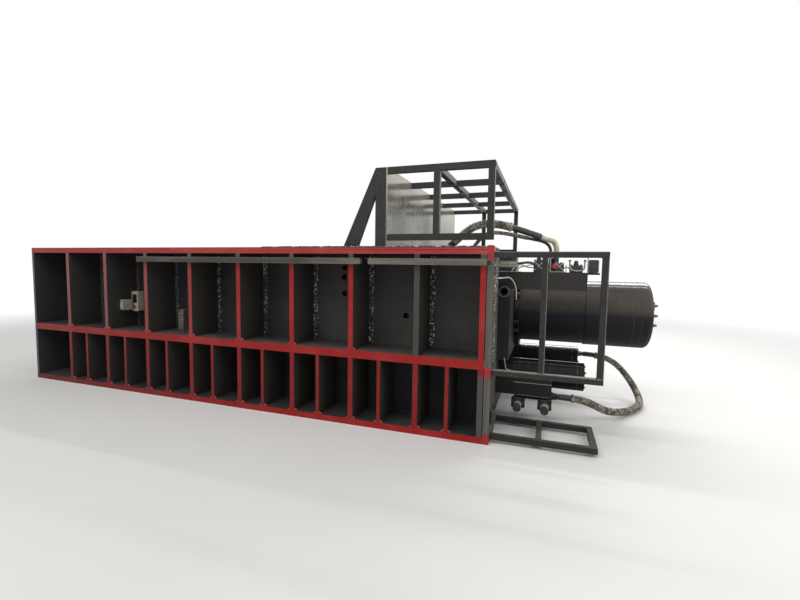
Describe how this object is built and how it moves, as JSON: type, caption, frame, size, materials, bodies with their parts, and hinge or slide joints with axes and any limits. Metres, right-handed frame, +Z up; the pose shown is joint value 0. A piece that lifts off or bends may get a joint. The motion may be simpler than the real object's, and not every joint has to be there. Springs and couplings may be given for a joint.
{
  "type": "gantry shear",
  "caption": "Hydraulic portal shear head lying on its side: ribbed columns, crown with cylinders, knife slide and hold-down clamp.",
  "frame": {"origin": "bottom centre of the machine's box as it lies on its feeding side", "axes": "+X from the foundation base to the crown, +Z up and through the portal, Y across the columns"},
  "size_m": [7.665, 3.25, 2.515],
  "materials": {
    "red_paint": "semi-gloss enamel on edges",
    "frame_paint": "dark primer",
    "grey_paint": "grey primer",
    "dark_paint": "black-grey enamel",
    "floor_plate": "dusty plate",
    "cylinder_paint": "gloss black",
    "bright_steel": "ground steel",
    "black_bolts": "black oxide",
    "chrome_rod": "hard chrome",
    "hose_rubber": "smooth hose",
    "cream_paint": "cream primer",
    "grey_plastic": "light grey",
    "white_cable": "white jacket",
    "red_cap": "red",
    "bronze_liner": "bronze"
  },
  "bodies": {
    "portal_frame": {"base_plate": "grey_paint", "bed_beam": "frame_paint", "bottom_flanges": "red_paint", "cable_trunking": "dark_paint", "cap_port_block": "dark_paint", "clamp_bay_ribs": "red_paint", "clamp_bay_thin_ribs": "red_paint", "clamp_cylinders": "cylinder_paint", "clamp_feed_hose": "hose_rubber", "clamp_flange_bolts": "black_bolts", "clamp_manifold": "dark_paint", "column_end_plates": "red_paint", "column_head_plates": "grey_paint", "column_webs": "frame_paint", "crown_end_guard": "dark_paint", "crown_face_plates": "frame_paint", "crown_lower_plate": "frame_paint", "crown_ribs": "frame_paint", "crown_upper_plate": "frame_paint", "cylinder_mount_plate": "dark_paint", "flange_end_blocks": "red_paint", "floor_side_guard": "dark_paint", "foot_beam": "frame_paint", "gib_bars": "bronze_liner", "grease_distributor": "grey_paint", "hose_fittings": "black_bolts", "limit_switch_box": "grey_plastic", "lower_knife_bolts": "black_bolts", "lower_knives": "bright_steel", "main_cylinder": "cylinder_paint", "main_flange_bolts": "black_bolts", "manifold_pipe_stubs": "dark_paint", "mid_flanges": "red_paint", "pilot_hose": "hose_rubber", "pilot_line_fittings": "dark_paint", "platform_braces": "dark_paint", "platform_floor": "floor_plate", "platform_frame": "dark_paint", "platform_railing": "dark_paint", "pressure_hose": "hose_rubber", "pressure_line_flange": "dark_paint", "safety_valve": "red_cap", "sensor_cable": "white_cable", "sensor_plug": "black_bolts", "shear_bay_ribs": "red_paint", "side_liners": "bronze_liner", "steel_elbow": "cream_paint", "terminal_box": "dark_paint", "top_flanges": "red_paint", "valve_blocks": "dark_paint", "valve_control_box": "grey_plastic", "valve_shelf": "dark_paint", "wiring_tray": "grey_paint"},
    "knife_slide_group": {"knife_slide": "frame_paint", "upper_knives": "bright_steel", "upper_knife_bolts": "black_bolts", "main_rod": "chrome_rod", "rod_clamp_ring": "dark_paint"},
    "clamp_group": {"clamp_head": "frame_paint", "clamp_rods": "chrome_rod"}
  },
  "joints": [
    {"name": "knife_stroke", "type": "slide", "parent": "portal_frame", "child": "knife_slide_group", "axis": [-1, 0, 0], "range_m": [0, 1.04]},
    {"name": "clamp_stroke", "type": "slide", "parent": "portal_frame", "child": "clamp_group", "axis": [-1, 0, 0], "range_m": [0, 0.94]}
  ]
}
